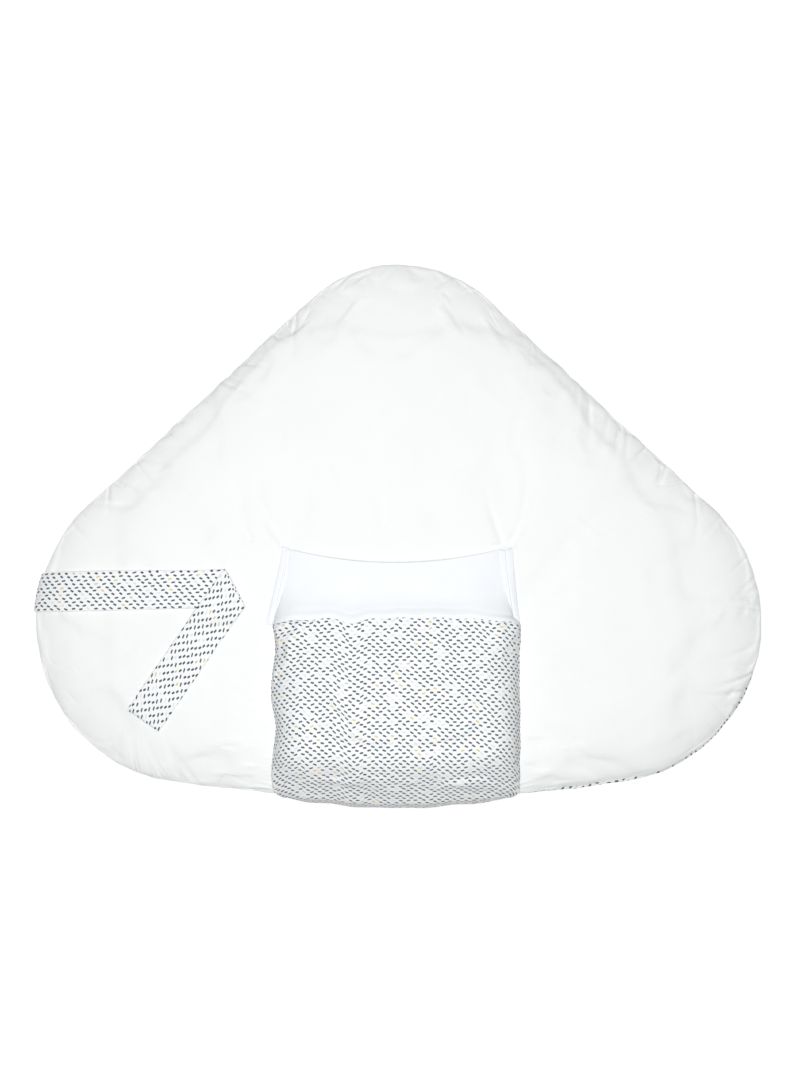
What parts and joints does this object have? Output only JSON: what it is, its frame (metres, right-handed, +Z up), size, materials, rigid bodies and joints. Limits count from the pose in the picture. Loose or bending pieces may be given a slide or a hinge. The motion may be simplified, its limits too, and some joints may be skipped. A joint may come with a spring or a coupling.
{
  "type": "nursing pillow",
  "caption": "Rounded-triangle padded nursing pillow and baby wrap with fold-up wings and hood, a puffy foot pouch with a stretch cuff, and a folded fabric belt.",
  "frame": {"origin": "on the floor plane, under the middle of the object's box", "axes": "+X to the right across the wings, +Y from the foot pouch to the hood, +Z up out of the front"},
  "size_m": [0.9059, 0.678, 0.088],
  "materials": {
    "white_cotton": "matte",
    "print_cotton": "matte",
    "white_jersey": "matte",
    "wadding": "matte",
    "interlining": "matte",
    "thread": "matte"
  },
  "bodies": {
    "nest_base": {"front_cover_middle": "white_cotton", "back_cover_middle": "print_cotton", "wadding_middle": "wadding", "pouch_print_cover": "print_cotton", "pouch_wadding": "wadding", "pouch_lining": "white_cotton", "cuff_band": "white_jersey", "side_tape_left": "white_jersey", "side_tape_right": "white_jersey", "bar_tack_left": "thread", "bar_tack_right": "thread"},
    "left_wing": {"front_cover_left_wing": "white_cotton", "back_cover_left_wing": "print_cotton", "wadding_left_wing": "wadding", "belt_seam_end": "print_cotton"},
    "right_wing": {"front_cover_right_wing": "white_cotton", "back_cover_right_wing": "print_cotton", "wadding_right_wing": "wadding"},
    "hood": {"front_cover_hood": "white_cotton", "back_cover_hood": "print_cotton", "wadding_hood": "wadding"},
    "belt_run": {"belt_run_lower_face": "print_cotton", "belt_run_interlining": "interlining", "belt_run_upper_face": "print_cotton"},
    "belt_tail": {"belt_tail_lower_face": "print_cotton", "belt_tail_interlining": "interlining", "belt_tail_upper_face": "print_cotton"}
  },
  "joints": [
    {"name": "left_wing_fold", "type": "hinge", "parent": "nest_base", "child": "left_wing", "pos_m": [-0.17, 0, 0.043], "axis": [0, 1, 0], "range_deg": [0, 110]},
    {"name": "right_wing_fold", "type": "hinge", "parent": "nest_base", "child": "right_wing", "pos_m": [0.17, 0, 0.043], "axis": [0, -1, 0], "range_deg": [0, 110]},
    {"name": "hood_fold", "type": "hinge", "parent": "nest_base", "child": "hood", "pos_m": [0, 0.24522, 0.043], "axis": [1, 0, 0], "range_deg": [0, 90]},
    {"name": "belt_swing", "type": "hinge", "parent": "left_wing", "child": "belt_run", "pos_m": [-0.44508, -0.0715, 0.02721], "axis": [-0.1888, -0.982, 0], "range_deg": [0, 165]},
    {"name": "belt_tail_unfold", "type": "hinge", "parent": "belt_run", "child": "belt_tail", "pos_m": [-0.2038, -0.06729, 0.04645], "axis": [-0.4664, 0.8846, 0], "range_deg": [0, 130]}
  ]
}
